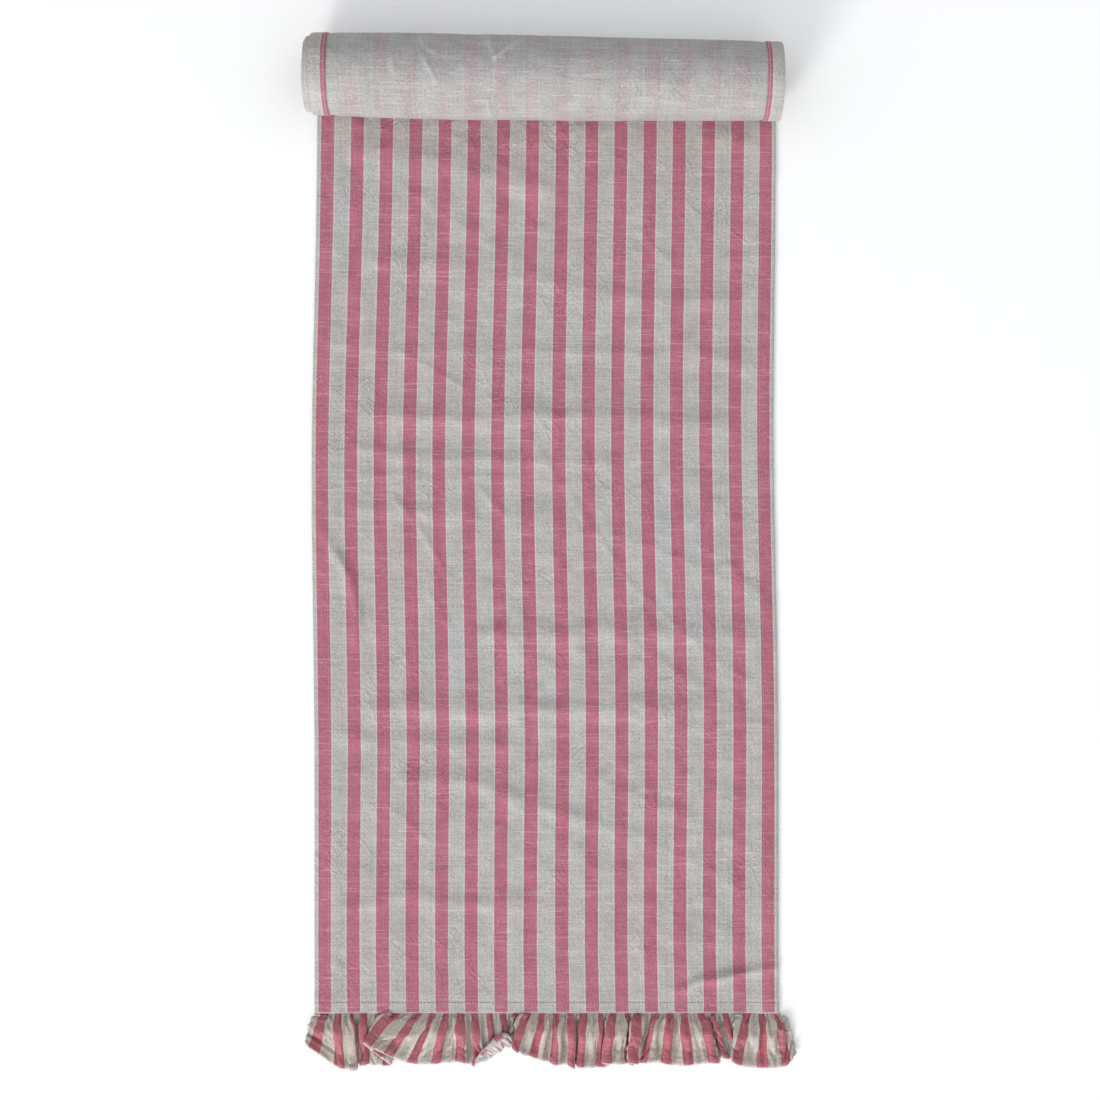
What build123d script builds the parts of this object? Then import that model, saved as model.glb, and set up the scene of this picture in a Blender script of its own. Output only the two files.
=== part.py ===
"""A cotton table runner with a gathered ruffle at each end, rolled up from its far end.

The runner lies face up: +Y runs along its length towards the roll, +X across its width, +Z up.
The origin is at the middle of its footprint, on the table. Everything is in millimetres.
Each row of lockstitch has two threads: the needle thread on the face, the bobbin thread on the back.
"""

import os
from math import cos, degrees, radians, sin

from build123d import *

# Cloth
cloth = 0.6  # thickness of one layer
panel_width = 356.0  # finished width, 14 in
flat_length = 712.0  # from the front seam to the line where the roll touches the table
side_hem = 13.0  # the side edges are turned twice
hem_stack = 3 * cloth

# Roll
roll_radius = 30.8
turn_pitch = 2.4  # one turn of the hem stack with a little air
half_turns = 15
step = turn_pitch / 2  # the radius lost in each half turn
last_arc = 90.0  # degrees of panel after the half turns, up to the far seam

# Ruffles
ruffle_drop = 40.0  # from seam to free edge
ruffle_flutes = 28
ruffle_flare = 11.5  # how much wider the free edge is than the seam, each side
flute_rise_seam = 0.6
flute_rise_edge = 9.0
flute_wall = 1.2  # cloth measured upright, which leaves the leaning walls about one layer thick
flute_phases = (0.0, 0.15, 0.5, 0.65)  # where a flute's valley and crest begin and end
seam_gap = 1.5  # between the panel's end and the part of the ruffle that folds
ruffle_hem = 5.0  # from the free edge to its stitching
core_ruffle_wall = 1.1  # the far ruffle's gathered cloth pressed flat
core_ruffle_arc = 110.0  # degrees of it that lie past its first quarter turn
core_seam_gap = 1.0  # degrees between the panel's far end and the far ruffle

# Seam allowances and stitching
allowance = 10.0
ruffle_ease = 1.0  # the ruffles stop this far inside the panel's finished edges
row_ease = 2.0  # and so far inside stop the rows of stitching that run right across
seam_inset = 1.0
gather_inset = 4.0
topstitch_inset = 8.0
hem_stitch_inset = 11.2  # from the finished side edge, on the narrow stripe that shows on the back
thread_wide = 0.5
thread_deep = 0.3
thread_air = 0.05  # all round a thread in its channel

# Places that follow from the sizes above
last_turn = half_turns + 1
far_seam = last_arc + 90  # an angle in the half turn after the whole ones, which starts at the top
core_end = core_ruffle_arc - 90  # an angle in the one after that, where the far ruffle ends
front_seam = -(flat_length + roll_radius - ruffle_drop) / 2
free_edge = front_seam - ruffle_drop
roll_y = front_seam + flat_length
half_width = panel_width / 2
hem_inner = half_width - side_hem
hem_stitch_x = half_width - hem_stitch_inset
lift = 2 * cloth  # the panel's front end stands on both seam allowances
lift_end = front_seam + allowance + 2.0  # the allowances have ended, and the panel starts to come down
lift_run = 10.0  # how far it takes to lie on the table
channel_half = thread_wide / 2 + thread_air
channel_deep = thread_deep + thread_air


def turn_centre(turn):
    """Centre of a half turn, as (Y, Z). Two centres, a step apart, make the spiral."""
    return (roll_y, roll_radius + step * (turn % 2))


def turn_radius(turn):
    """Radius of the cloth's back face in a half turn, counted from the outside."""
    return roll_radius - turn * step


def turn_start(turn):
    """Half turns start at the bottom and the top in turn."""
    return -90 if turn % 2 == 0 else 90


def on_turn(turn, angle, depth):
    """The point of a turn at an angle, depth inside the cloth's back face."""
    centre = turn_centre(turn)
    radius = turn_radius(turn) - depth
    return (centre[0] + radius * cos(radians(angle)), centre[1] + radius * sin(radians(angle)))


def rolled_line(depth):
    """The line at one depth along the whole panel, from the front seam to the far seam."""
    Polyline(
        (front_seam, lift + depth),
        (lift_end, lift + depth),
        (lift_end + lift_run, depth),
        (roll_y, depth),
    )
    for turn in range(half_turns):
        CenterArc(turn_centre(turn), turn_radius(turn) - depth, turn_start(turn), 180)
    last_start = turn_start(half_turns)
    CenterArc(turn_centre(half_turns), turn_radius(half_turns) - depth, last_start, last_arc)


def rolled_strip(x_low, x_high, low, high):
    """Cloth or thread along the whole panel, between two depths."""
    with BuildSketch(Plane.YZ.offset(x_low)) as profile:
        with BuildLine():
            rolled_line(low)
            rolled_line(high)
            Line((front_seam, lift + low), (front_seam, lift + high))
            Line(on_turn(half_turns, far_seam, low), on_turn(half_turns, far_seam, high))
        make_face()
    extrude(profile.sketch, amount=x_high - x_low)


def cross_bar(y, z_low, z_high, half_length, wide, mode=Mode.ADD):
    """A straight bar across the runner: a row of stitching, its channel, or a layer of cloth."""
    with Locations((0, y, (z_low + z_high) / 2)):
        Box(2 * half_length, wide, z_high - z_low, mode=mode)


def core_bar(angle, low, high, half_length, wide, mode=Mode.ADD):
    """The same in the roll's core, where the far seam's stitching runs."""
    y, z = on_turn(half_turns, angle, (low + high) / 2)
    with Locations(Location((0, y, z), (angle, 0, 0))):
        Box(2 * half_length, high - low, wide, mode=mode)


def core_angle(inset):
    """Where a row of stitching lies that is inset from the far seam."""
    return far_seam - degrees(inset / turn_radius(half_turns))


def wave(share, depth):
    """The gathered cloth's line across the ruffle, share of the way from seam to free edge."""
    half = half_width - ruffle_ease + ruffle_flare * share
    rise = flute_rise_seam + (flute_rise_edge - flute_rise_seam) * share
    flute = 2 * half / ruffle_flutes
    points = []
    for i in range(ruffle_flutes):
        for phase, height in zip(flute_phases, (0, 0, rise, rise)):
            points.append((-half + (i + phase) * flute, height + depth))
    points.append((half, depth))
    return points


def flounce(y_from, y_to, low, high):
    """Gathered cloth, or a thread on it, from one Y to another."""
    sections = []
    for y in (y_from, y_to):
        share = (front_seam - y) / ruffle_drop
        with BuildSketch(Plane.XZ.offset(-y)) as section:
            with BuildLine():
                Polyline(*wave(share, low), *reversed(wave(share, high)), close=True)
            make_face()
        sections.append(section.sketch.faces()[0])
    loft(sections, ruled=True)


def save(part, name):
    part.label = name
    export_step(part, f"parts/{name}.step")


def make_panel():
    with BuildPart() as striped_panel:
        rolled_strip(-hem_inner, hem_inner, 0, cloth)
        for side in (-1, 1):
            channel = (hem_stitch_x - channel_half, hem_stitch_x + channel_half)
            bands = (
                (hem_inner, channel[0], 0),
                (channel[0], channel[1], channel_deep),
                (channel[1], half_width, 0),
            )
            for x_near, x_far, groove in bands:
                x_low, x_high = sorted((side * x_near, side * x_far))
                rolled_strip(x_low, x_high, groove, hem_stack - groove)
        cross_bar(front_seam + allowance / 2, cloth, lift, half_width, allowance)
        top = lift + cloth
        stitch_y = front_seam + topstitch_inset
        cross_bar(stitch_y, top - channel_deep, top, hem_inner, 2 * channel_half, mode=Mode.SUBTRACT)
        angle = core_angle(topstitch_inset)
        core_bar(angle, 0, channel_deep, hem_inner, 2 * channel_half, mode=Mode.SUBTRACT)
    save(striped_panel.part, "striped_panel")


def make_side_hem_threads():
    for side, name in ((-1, "left"), (1, "right")):
        x_low = side * hem_stitch_x - thread_wide / 2
        with BuildPart() as bobbin_thread:
            rolled_strip(x_low, x_low + thread_wide, 0, thread_deep)
        save(bobbin_thread.part, f"{name}_hem_bobbin_thread")
        with BuildPart() as needle_thread:
            rolled_strip(x_low, x_low + thread_wide, hem_stack - thread_deep, hem_stack)
        save(needle_thread.part, f"{name}_hem_needle_thread")


def make_front_heading():
    """The ruffle's gathered raw edge, sewn in under the panel's end."""
    rows = ((seam_inset, True), (gather_inset, True), (topstitch_inset, False))
    with BuildPart() as heading:
        cross_bar(front_seam + allowance / 2, 0, cloth - thread_air, half_width - ruffle_ease, allowance)
        for inset, on_top in rows:
            low, high = (cloth - thread_air - channel_deep, cloth) if on_top else (0, channel_deep)
            cross_bar(front_seam + inset, low, high, half_width, 2 * channel_half, mode=Mode.SUBTRACT)
    save(heading.part, "front_ruffle_heading")


def make_front_seam_threads():
    half = half_width - row_ease
    with BuildPart() as seam_thread:
        z_low = cloth - thread_air - thread_deep
        cross_bar(front_seam + seam_inset, z_low, z_low + thread_deep, half, thread_wide)
    save(seam_thread.part, "front_seam_thread")
    with BuildPart() as gathering_thread:
        cross_bar(front_seam + gather_inset, z_low, z_low + thread_deep, half, thread_wide)
    save(gathering_thread.part, "front_gathering_thread")
    with BuildPart() as topstitch_bobbin:
        cross_bar(front_seam + topstitch_inset, 0, thread_deep, half, thread_wide)
    save(topstitch_bobbin.part, "front_topstitch_bobbin_thread")
    with BuildPart() as topstitch_needle:
        top = lift + cloth
        half = hem_inner - thread_air
        cross_bar(front_seam + topstitch_inset, top - thread_deep, top, half, thread_wide)
    save(topstitch_needle.part, "front_topstitch_needle_thread")


def make_front_ruffle():
    with BuildPart() as front_ruffle:
        flounce(front_seam - seam_gap, free_edge, 0, flute_wall)
    save(front_ruffle.part, "front_ruffle")
    with BuildPart() as hem_thread:
        y = free_edge + ruffle_hem
        low = flute_wall + thread_air
        flounce(y, y - thread_wide, low, low + thread_deep)
    save(hem_thread.part, "front_ruffle_hem_thread")


def core_line(depth):
    """The line at one depth that carries on inwards from the far seam to the ruffle's free edge."""
    start = far_seam + core_seam_gap
    to_bottom = turn_start(half_turns) + 180 - start
    CenterArc(turn_centre(half_turns), turn_radius(half_turns) - depth, start, to_bottom)
    CenterArc(turn_centre(last_turn), turn_radius(last_turn) - depth, turn_start(last_turn), core_ruffle_arc)


def make_far_ruffle():
    """The far ruffle, wound into the roll's core."""
    half = half_width - ruffle_ease
    start = far_seam + core_seam_gap
    with BuildPart() as far_ruffle:
        with BuildSketch(Plane.YZ.offset(-half)):
            with BuildLine():
                core_line(0)
                core_line(core_ruffle_wall)
                Line(on_turn(half_turns, start, 0), on_turn(half_turns, start, core_ruffle_wall))
                Line(on_turn(last_turn, core_end, 0), on_turn(last_turn, core_end, core_ruffle_wall))
            make_face()
        extrude(amount=2 * half)
    save(far_ruffle.part, "far_ruffle")


def make_far_seam_threads():
    """The stitching of the far seam and of the far ruffle's free edge."""
    half = half_width - row_ease
    between_hems = hem_inner - thread_air
    inside = core_ruffle_wall + thread_air
    on_face = cloth + thread_air
    rows = (
        ("far_seam_thread", core_angle(-seam_inset), inside, half),
        ("far_gathering_thread", core_angle(-gather_inset), inside, half),
        ("far_topstitch_bobbin_thread", core_angle(topstitch_inset), 0, between_hems),
        ("far_topstitch_needle_thread", core_angle(topstitch_inset), on_face, between_hems),
    )
    for name, angle, low, half_length in rows:
        with BuildPart() as thread:
            core_bar(angle, low, low + thread_deep, half_length, thread_wide)
        save(thread.part, name)

    angle = core_end - degrees(ruffle_hem / turn_radius(last_turn))
    y, z = on_turn(last_turn, angle, inside + thread_deep / 2)
    with BuildPart() as hem_thread:
        with Locations(Location((0, y, z), (angle, 0, 0))):
            Box(2 * half, thread_deep, thread_wide)
    save(hem_thread.part, "far_ruffle_hem_thread")


os.makedirs("parts", exist_ok=True)
make_panel()
make_side_hem_threads()
make_front_heading()
make_front_seam_threads()
make_front_ruffle()
make_far_ruffle()
make_far_seam_threads()
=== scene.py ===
"""The looks of a striped cotton table runner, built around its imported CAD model.

Cloth is measured in cloth coordinates: u across the panel from its middle, s along it from the front
seam. A cloth piece is a closed mesh made from two surfaces, its face and its back, and each point keeps
its own place in the cloth, so that the stripes, slubs and weave follow it through every fold.
"""

import math
import random

import bpy
import numpy as np
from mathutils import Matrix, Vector, noise
from mathutils.kdtree import KDTree


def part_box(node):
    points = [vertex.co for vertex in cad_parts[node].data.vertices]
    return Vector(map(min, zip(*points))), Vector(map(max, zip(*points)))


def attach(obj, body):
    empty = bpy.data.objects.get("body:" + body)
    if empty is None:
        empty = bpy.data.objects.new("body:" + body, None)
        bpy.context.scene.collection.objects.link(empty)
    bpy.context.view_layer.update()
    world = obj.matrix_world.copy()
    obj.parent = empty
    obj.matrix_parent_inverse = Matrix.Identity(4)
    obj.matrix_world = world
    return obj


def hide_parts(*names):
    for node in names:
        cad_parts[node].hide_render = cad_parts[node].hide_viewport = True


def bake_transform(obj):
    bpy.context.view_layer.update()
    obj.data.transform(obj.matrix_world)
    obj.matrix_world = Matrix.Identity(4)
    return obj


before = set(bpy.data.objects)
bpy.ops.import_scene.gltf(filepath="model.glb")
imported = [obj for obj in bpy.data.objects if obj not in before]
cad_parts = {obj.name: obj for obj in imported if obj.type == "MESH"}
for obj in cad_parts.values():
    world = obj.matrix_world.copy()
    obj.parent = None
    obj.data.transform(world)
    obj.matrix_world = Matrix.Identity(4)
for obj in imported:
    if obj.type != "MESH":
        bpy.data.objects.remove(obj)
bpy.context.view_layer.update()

MM = 0.001

# The panel's places, from the frame
panel_low, panel_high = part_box("striped_panel")
front_seam = panel_low.y
half_width = panel_high.x
roll_radius = (panel_high.z - panel_low.z) / 2
roll_y = panel_high.y - roll_radius
flat_length = roll_y - front_seam

# The cloth, as it was cut and sewn
cloth = 0.6 * MM  # one layer
side_hem = 13 * MM  # turned twice
hem_stitch_inset = 11.2 * MM  # from the finished side edge
allowance = 10 * MM  # turned in at the front seam
topstitch_inset = 8 * MM
lift = 2 * cloth  # how far the seam raises the panel's end
turn_pitch = 2.4 * MM  # how much nearer to the core each turn of the roll lies
turns = 7.75
stripe_pitch = 22.7 * MM
stripe_half = 5.0 * MM  # half the width of a stripe
stitch = 2.4 * MM


def smooth(x, low, high):
    """0 before low, 1 after high, and a smooth step between them."""
    t = np.clip((np.asarray(x, float) - low) / (high - low), 0, 1)
    return t * t * (3 - 2 * t)


def hump(x, rise, top, fall, low):
    """0 before rise, 1 from top to fall, and 0 after low."""
    return smooth(x, rise, top) * (1 - smooth(x, fall, low))


def unit(vectors):
    """Vectors brought to a length of 1."""
    return vectors / np.maximum(np.linalg.norm(vectors, axis=-1, keepdims=True), 1e-12)


def in_cloth(u, s, side):
    """Places in the cloth, for arrays or numbers: side is 0 on the face and 1 on the back."""
    return np.stack(np.broadcast_arrays(u, s, side), -1)


# ---------------------------------------------------------------- the panel's shape

# The roll is a spiral: the panel's part of it, and a little more for the far ruffle
last_angle = 2 * math.pi * turns
ruffle_angle = 1.9 * math.pi
turn_angles = np.linspace(0, last_angle + ruffle_angle, 4400)
turn_radii = roll_radius - turn_pitch * turn_angles / (2 * math.pi)
turn_steps = (turn_radii[1:] + turn_radii[:-1]) / 2 * np.diff(turn_angles)
turn_lengths = np.concatenate(([0], np.cumsum(turn_steps)))
panel_length = flat_length + np.interp(last_angle, turn_angles, turn_lengths)

# The roll as it was wound, in millimetres:
# (place across, how far its axis lies towards the far end, radius)
roll_shape = np.array([
    (-178, 2.6, 31.6), (-150, 1.4, 32.6), (-110, 0.4, 33.1), (-60, -0.6, 33.4), (0, -1.3, 33.0),
    (60, -1.8, 32.2), (110, -2.6, 31.8), (150, -3.0, 31.4), (178, -2.8, 30.5),
]) * MM
roll_axis = np.polyfit(roll_shape[:, 0], roll_shape[:, 1], 3)
roll_outline = np.polyfit(roll_shape[:, 0], roll_shape[:, 2], 4)

# How far the stripes wander to the right, in millimetres:
# (distance from the front seam, wander left of the middle, wander right of it)
wander = np.array([
    (0, -0.8, 1.4), (50, -1.4, 0.5), (125, -1.0, 0.6), (200, 0, 1.6), (280, -0.2, 1.9), (355, -0.6, 1.6),
    (435, -0.8, 1.3), (510, -0.4, 1.0), (590, 0.1, 0.9), (670, 0.7, 1.4), (760, 0.9, 1.5), (860, 0, 0),
]) * MM

# How the panel as a whole departs from a straight strip
bow = 3.0 * MM  # how far it is bowed to the left,
bow_middle = 0.08  # where,
bow_reach = 0.15  # and how far each way along it
narrowing = 0.011  # the share of its width that it loses towards the roll


def field(u, s, size, seed, kind="soft"):
    """Smooth or ridged noise at a place in the cloth, about -1 to 1, for arrays of places."""
    flat = np.empty(u.size)
    for i, (a, b) in enumerate(zip(u.ravel() / size, s.ravel() / size)):
        if kind == "soft":
            flat[i] = noise.fractal((a, b, seed), 1.0, 2.0, 2)
        else:
            flat[i] = 1 - 2 * abs(noise.noise((a, b, seed)))
    return flat.reshape(u.shape)


# Ridges in the laid part of the panel, in millimetres: the points (across, from the front seam) that
# each one runs through, its half width and its height
ridges = [
    ([(-144, 663), (-86, 653), (-5, 636)], 10, 2),
    ([(-136, 576), (-86, 576), (-9, 566), (34, 555), (88, 549), (149, 551)], 8, 1.5),
    ([(-113, 510), (-9, 510), (88, 508), (157, 503)], 6, 1),
    ([(-132, 460), (-55, 458), (34, 460), (138, 455)], 8, 2),
    ([(-140, 435), (-86, 426), (-9, 424), (45, 426)], 6, 1.5),
    ([(-140, 412), (-78, 412), (40, 410)], 3, 0.6),
    ([(-140, 387), (-55, 383)], 6, 1.4),
    ([(-51, 291), (18, 294), (88, 294), (157, 292)], 8, 2),
    ([(-132, 235), (-67, 235), (10, 233), (126, 237)], 8, 2.3),
    ([(-159, 212), (-86, 208), (-28, 206)], 6, 1.2),
    ([(-109, 181), (-55, 177), (-1, 158), (53, 142)], 6.5, 1.6),
    ([(-159, 79), (-105, 90), (-67, 84), (-20, 86)], 6, 1.5),
    ([(101, 19), (118, 25), (149, 31), (180, 36)], 3.5, 3.4),
    ([(-177, 383), (-163, 358), (-150, 337), (-143, 306), (-146, 287)], 4, 3.1),
    ([(-9, 441), (64, 333), (122, 279), (153, 256)], 2.2, 0.7),
    ([(72, 605), (95, 580)], 2.5, 1),
    ([(-47, 403), (-28, 383)], 2.5, 1),
    ([(-113, 395), (-94, 372), (-74, 337)], 2.5, 1),
    ([(-88, 322), (-72, 295)], 2.5, 1),
    ([(-121, 158), (-92, 133)], 2.5, 0.8),
    ([(-109, 507), (-63, 483)], 2.5, 1),
    ([(126, 223), (178, 223)], 2.2, 0.8),
    ([(-7, 248), (-5, 217)], 4, 1),
    ([(126, 676), (165, 669), (178, 649)], 8, 1.7),
    ([(145, 580), (176, 583)], 6, 1.4),
    ([(141, 345), (165, 322)], 4, 1.2),
]

# The creases that were pressed into the cloth where it now lies on top of the roll, in the same way
roll_creases = [
    ([(-96, 785), (-88, 795), (-84, 796)], 1.6, 1.3),
    ([(-93, 800), (-88, 808), (-83, 817)], 1.6, 1.3),
    ([(-45, 783), (-38.5, 798), (-38, 806), (-38, 814)], 1.6, 1.4),
    ([(-20, 783), (-38.5, 798)], 1.6, 1.4),
    ([(-116, 800), (-114, 812)], 1.6, 1.2),
    ([(-45, 830), (-42, 844)], 1.8, 1.0),
]


def ridge_heights(u, s, lines):
    """How high the ridges of a list stand at arrays of places, with their lines a little uneven."""
    uneven = 3 * MM * field(u, s, 0.03, 55.1)
    total = np.zeros(u.shape)
    for points, width, height in lines:
        line = np.array(points) * MM
        nearest = np.full(u.shape, np.inf)
        for (u0, s0), (u1, s1) in zip(line[:-1], line[1:]):
            du, ds = u1 - u0, s1 - s0
            along = np.clip(((u - u0) * du + (s - s0) * ds) / (du**2 + ds**2), 0, 1)
            gap = (u - u0 - along * du) ** 2 + (s + uneven - s0 - along * ds) ** 2
            nearest = np.minimum(nearest, gap)
        total += height * MM * np.exp(-nearest / (width * MM) ** 2)
    return total


def wrinkles(u, s):
    """How far the cloth stands off its resting place, in metres."""
    # Each kind of wrinkle is at most about 1, and has its height in millimetres
    wave_height, crease_height, crumple_height, fine_height, least_height = 1.2, 0.9, 0.55, 0.6, 0.4
    slant = u * 0.8 + s * 0.6
    waves = 0.5 + 0.5 * field(u, s * 1.5, 0.085, 3.1)
    creases = np.clip(field(slant * 0.7, s + 0.4 * u, 0.055, 8.7, "ridged"), 0, 1) ** 3
    crumples = field(u, s * 1.3, 0.019, 12.3)
    fine = np.clip(field(u - 0.5 * s, s * 0.8, 0.022, 21.9, "ridged"), 0, 1) ** 2
    patches = 0.35 + 0.65 * smooth(field(u, s, 0.16, 30.5), -0.25, 0.3)
    sharp = crease_height * creases + crumple_height * crumples + fine_height * fine
    return (wave_height * waves + sharp * patches + least_height) * MM + ridge_heights(u, s, ridges)


def panel_surface(u, s, depth):
    """Points of the panel for arrays of u, s and depth inside the back face.

    The panel lies on its back up to flat_length, and is wound from there on with its back outwards.
    """
    on_roll = s > flat_length
    angle = np.interp(s - flat_length, turn_lengths, turn_angles)
    winding = angle / (2 * math.pi)
    outer = np.polyval(roll_outline, u)
    radius = (roll_radius - turn_pitch * winding) * outer / roll_radius - depth
    centre_y = roll_y + np.polyval(roll_axis, u)
    y_roll = centre_y + radius * np.sin(angle)
    z_roll = outer - radius * np.cos(angle)
    y_flat = front_seam + s * (centre_y - front_seam) / flat_length
    rise = lift * (1 - smooth(s, allowance, allowance + 14 * MM))
    z_flat = depth + rise
    drift = -bow * np.exp(-(((y_flat - bow_middle) / bow_reach) ** 2)) * ~on_roll
    left, right = (np.interp(s, wander[:, 0], wander[:, i]) for i in (1, 2))
    sway = left + (right - left) * smooth(u, -12 * MM, 12 * MM)
    sway = sway * (1 - 0.8 * smooth(np.abs(u), half_width - 30 * MM, half_width))
    narrow = 1 - narrowing * smooth(s, flat_length * 0.3, flat_length) * (1 - smooth(winding, 0.7, 1.0))
    # The inner turns stick out of the roll's left end, each by its own amount
    telescoped = (1.0 * np.sin(2.1 * winding + 0.6) - 2.4) * MM * smooth(winding, 0.95, 1.6)
    x = u * narrow + drift + sway + telescoped
    return np.stack([x, np.where(on_roll, y_roll, y_flat), np.where(on_roll, z_roll, z_flat)], -1)


def surface_normals(points):
    """Unit normals of a grid of points."""
    along = np.gradient(points, axis=0)
    across = np.gradient(points, axis=1)
    return unit(np.cross(across, along))


def mesh_object(name, points, faces, places_name, places):
    """A smooth mesh of four-sided faces, whose points keep their places under the given name."""
    mesh = bpy.data.meshes.new(name)
    mesh.vertices.add(len(points))
    mesh.vertices.foreach_set("co", np.asarray(points, np.float32).ravel())
    faces = np.asarray(faces, np.int32)
    mesh.loops.add(faces.size)
    mesh.loops.foreach_set("vertex_index", faces.ravel())
    mesh.polygons.add(len(faces))
    mesh.polygons.foreach_set("loop_start", np.arange(len(faces), dtype=np.int32) * faces.shape[1])
    mesh.update(calc_edges=True)
    attribute = mesh.attributes.new(places_name, "FLOAT_VECTOR", "POINT")
    attribute.data.foreach_set("vector", places.astype(np.float32).ravel())
    mesh.shade_smooth()
    piece = bpy.data.objects.new(name, mesh)
    bpy.context.scene.collection.objects.link(piece)
    return piece


def grid_faces(rows, columns, start=0, flip=False):
    """The faces between the points of a grid, whose first point has the number start."""
    i, j = np.meshgrid(np.arange(rows - 1), np.arange(columns - 1), indexing="ij")
    a = start + i * columns + j
    quads = np.stack([a, a + 1, a + columns + 1, a + columns], -1).reshape(-1, 4)
    return quads[:, ::-1] if flip else quads


def closed_cloth(name, face, back, face_place, back_place, bulge):
    """A closed mesh from the grids of a cloth's face and back, joined by a rounded rim.

    bulge is how far the rim stands out.
    """
    rows, columns = face.shape[:2]
    count = rows * columns
    ring = np.concatenate([
        np.arange(columns),
        np.arange(1, rows) * columns + columns - 1,
        (rows - 1) * columns + np.arange(columns - 2, -1, -1),
        np.arange(rows - 2, 0, -1) * columns,
    ])
    flat_face, flat_back = face.reshape(-1, 3), back.reshape(-1, 3)
    middle = (flat_face[ring] + flat_back[ring]) / 2
    tangent = np.roll(middle, -1, 0) - np.roll(middle, 1, 0)
    upright = flat_face[ring] - flat_back[ring]
    rim = middle + unit(np.cross(tangent, upright)) * bulge
    points = np.concatenate([flat_face, flat_back, rim])
    flat_face_place = face_place.reshape(-1, 3)
    places = np.concatenate([flat_face_place, back_place.reshape(-1, 3), flat_face_place[ring]])
    n = len(ring)
    k = np.arange(n)
    after = (k + 1) % n
    rim_at = 2 * count + k
    sides = np.concatenate([
        np.stack([ring[k], rim_at, 2 * count + after, ring[after]], -1),
        np.stack([rim_at, count + ring[k], count + ring[after], 2 * count + after], -1),
    ])
    faces = np.concatenate([grid_faces(rows, columns), grid_faces(rows, columns, count, True), sides])
    return mesh_object(name, points, faces, "cloth", places)


def panel_columns():
    """Places across the panel, closer together at the folds of the hems and at the roll's creases."""
    fold = [0.0, 0.6, 2.0, 5.0, 8.5, 11.0, 12.7, 13.2, 14.6, 17.0, 20.0]
    near = half_width - np.array(fold) * MM
    creased_from, creased_to = -132 * MM, -12 * MM
    middle = [
        np.linspace(-near[-1], creased_from, 20, endpoint=False)[1:],
        np.linspace(creased_from, creased_to, 84, endpoint=False),
        np.linspace(creased_to, near[-1], 82)[:-1],
    ]
    return np.concatenate([-near, *middle, near[::-1]])


def panel_rows():
    """Places along the panel, closer together at the seam and on the outer turn."""
    seam = np.array([0.0, 0.6, 2.0, 4.0, 6.5, 7.5, 8.5, 9.7, 10.3, 12.0, 14.5]) * MM
    flat = np.linspace(seam[-1], flat_length, 340)[1:]
    outer = np.linspace(0, 2 * math.pi * 1.2, 170)[1:]
    inner = np.linspace(outer[-1], last_angle, 215)[1:]
    wound = np.interp(np.concatenate([outer, inner]), turn_angles, turn_lengths)
    return np.concatenate([seam, flat, flat_length + wound])


def turned_parts(u, s):
    """The distance from the side edge, and where the side hems and the seam allowance are."""
    edge = half_width - np.abs(u)
    in_hem = edge < side_hem
    return edge, in_hem, (s < allowance) & ~in_hem


def panel_depths(u, s):
    """Depths of the face and of the back, the hems and the front seam allowance included.

    The top layer lies on the two turned layers of a hem, pressed closer on the roll, and settles
    beside it.
    """
    edge, in_hem, in_allowance = turned_parts(u, s)
    settle = smooth(edge, side_hem, side_hem + 10 * MM)
    on_roll = smooth(s, flat_length, flat_length + 30 * MM)
    sink = 2 * cloth * (1 - 0.5 * on_roll) * (1 - settle * (1 - 0.1 * on_roll))
    rounding = 0.35 * MM * (1 - smooth(edge, 0, 1.5 * MM))
    back = np.where(in_hem, rounding, sink)
    return sink + cloth - rounding, np.where(in_allowance, back - cloth, back)


def panel_places(u, s):
    """Where each point of the face and of the back is in the cloth."""
    edge, in_hem, in_allowance = turned_parts(u, s)
    turned_u = np.where(in_hem, np.sign(u) * (half_width + edge + 1.0 * MM), u)
    turned_s = np.where(in_allowance, -s, s)
    side = np.where(in_hem | in_allowance, 0.0, 1.0)
    return in_cloth(u, s, 0.0), in_cloth(turned_u, turned_s, side)


def creased_height(u, s):
    """How far the roll's creases stand out: they die away at its far side."""
    height = np.zeros(u.shape)
    on_top = (s > flat_length + 55 * MM) & (s < flat_length + 170 * MM)
    fading = smooth(s[on_top], flat_length + 56 * MM, flat_length + 68 * MM)
    height[on_top] = ridge_heights(u[on_top], s[on_top], roll_creases) * fading
    return height


def panel_stand(u, s):
    """How far the cloth stands off: it is calm at the seam, at the side edges and in the roll."""
    on_roll = smooth(s, flat_length, flat_length + 20 * MM)
    inner = smooth(s, flat_length + 200 * MM, flat_length + 240 * MM)
    calm = smooth(s, 2 * MM, 30 * MM) * (1 - on_roll * 0.6) * (1 - inner)
    edge_calm = 0.3 + 0.7 * smooth(half_width - np.abs(u), 0, 30 * MM)
    stand = np.zeros(u.shape)
    live = calm > 0
    stand[live] = wrinkles(u[live], s[live]) * calm[live] * edge_calm[live]
    return stand - creased_height(u, s)


def make_panel():
    """The striped panel, from the front seam to the far seam inside the roll."""
    u, s = np.meshgrid(panel_columns(), panel_rows())
    face_depth, back_depth = panel_depths(u, s)
    stand = panel_stand(u, s)
    face = panel_surface(u, s, face_depth + stand)
    back = panel_surface(u, s, back_depth + stand)
    face_place, back_place = panel_places(u, s)
    piece = closed_cloth("striped_panel_cloth", face, back, face_place, back_place, 0.35 * MM)
    # The roll's creases are worn paler and get a painted highlight along their ridges on the cloth's
    # back, which is outermost there
    wear_and_highlight = np.zeros(len(piece.data.vertices), np.float32)
    wear_and_highlight[u.size:2 * u.size] = creased_height(u, s).ravel() / (1.5 * MM)
    piece.data.attributes.new("wear_and_highlight", "FLOAT", "POINT").data.foreach_set("value", wear_and_highlight)
    return piece


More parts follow.
